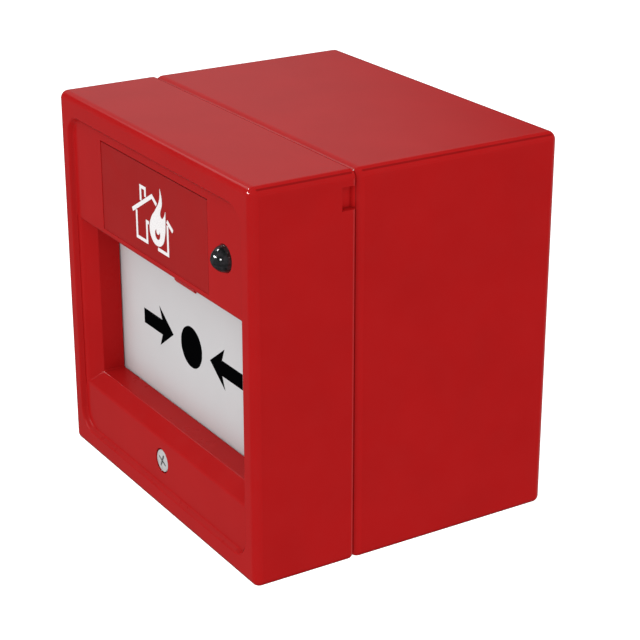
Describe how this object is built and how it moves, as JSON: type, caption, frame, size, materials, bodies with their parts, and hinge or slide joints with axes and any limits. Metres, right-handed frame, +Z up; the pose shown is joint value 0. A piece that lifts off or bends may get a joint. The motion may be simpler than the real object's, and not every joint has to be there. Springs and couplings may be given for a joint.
{
  "type": "manual call point",
  "caption": "Square surface-mounted fire alarm call point: hinged front cover, rocking press plate with drop-down flag, status lens, switch module and deep back box.",
  "frame": {"origin": "centre of the back box's rear face, which lies on the wall", "axes": "+X right and +Z up as seen from the front, +Y into the wall; the press plate faces -Y"},
  "size_m": [0.087, 0.0763, 0.087],
  "materials": {
    "red_plastic": "gloss",
    "dark_red_label": "satin",
    "pale_plastic": "matt",
    "dark_plastic": "matt",
    "lens_plastic": "gloss",
    "lamp_plastic": "clear",
    "flag_plastic": "satin",
    "plunger_plastic": "satin",
    "board_laminate": "satin",
    "terminal_plastic": "matt",
    "resistor_body": "matt",
    "capacitor_can": "sleeved",
    "steel": "plated",
    "brass": "turned"
  },
  "bodies": {
    "base": {"back_box": "red_plastic", "entry_plug": "red_plastic", "chassis": "dark_plastic", "screw_insert": "brass", "module_screw_low_left": "steel", "module_screw_low_right": "steel", "module_screw_high_left": "steel", "module_screw_high_right": "steel", "element_pin": "steel", "element_spring_left": "steel", "element_spring_right": "steel", "switch_body": "dark_plastic", "led_lamp": "lamp_plastic", "circuit_board": "board_laminate", "board_screw_left": "steel", "board_screw_right": "steel", "control_chip": "dark_plastic", "capacitor": "capacitor_can", "resistor_upper": "resistor_body", "resistor_lower": "resistor_body", "terminal_block": "terminal_plastic", "terminal_screw_1": "steel", "terminal_screw_2": "steel", "terminal_screw_3": "steel", "terminal_screw_4": "steel"},
    "cover": {"front_cover": "red_plastic", "symbol_label": "dark_red_label", "led_lens": "lens_plastic"},
    "cover_fixing": {"cover_screw": "steel", "screw_retainer": "dark_plastic"},
    "press_plate": {"operating_element": "pale_plastic"},
    "flag": {"alarm_flag": "flag_plastic"},
    "lever": {"switch_lever": "steel"},
    "plunger": {"switch_plunger": "plunger_plastic"},
    "reset": {"reset_barrel": "steel"}
  },
  "joints": [
    {"name": "cover_hinge", "type": "hinge", "parent": "base", "child": "cover", "pos_m": [0, -0.051, 0.0425], "axis": [-1, 0, 0], "range_deg": [0, 90]},
    {"name": "cover_screw_turn", "type": "hinge", "parent": "cover", "child": "cover_fixing", "pos_m": [0, -0.07325, -0.0321], "axis": [0, 1, 0], "continuous": true},
    {"name": "plate_press", "type": "hinge", "parent": "base", "child": "press_plate", "pos_m": [0, -0.0609, -0.0272], "axis": [-1, 0, 0], "range_deg": [0, 6], "stiffness_Nm_per_rad": 1.5, "springref_deg": -5.73, "deforming": ["element_spring_left", "element_spring_right"]},
    {"name": "flag_drop", "type": "slide", "parent": "base", "child": "flag", "axis": [0, 0, -1], "range_m": [0, 0.0132]},
    {"name": "lever_turn", "type": "hinge", "parent": "base", "child": "lever", "pos_m": [0, -0.0585, 0], "axis": [-1, 0, 0], "range_deg": [0, 18.6]},
    {"name": "plunger_slide", "type": "slide", "parent": "base", "child": "plunger", "axis": [0, 1, 0], "range_m": [0, 0.00095]},
    {"name": "reset_turn", "type": "hinge", "parent": "base", "child": "reset", "pos_m": [-0.018, -0.0594, -0.0403], "axis": [0, 0, 1], "range_deg": [0, 90], "stiffness_Nm_per_rad": 0.02, "springref_deg": -17.19}
  ],
  "couplings": [
    {"joint": "flag_drop", "follows": "plate_press", "m_per_rad": 0.125},
    {"joint": "lever_turn", "follows": "plate_press", "ratio": 3.05},
    {"joint": "plunger_slide", "follows": "plate_press", "m_per_rad": 0.0086}
  ]
}
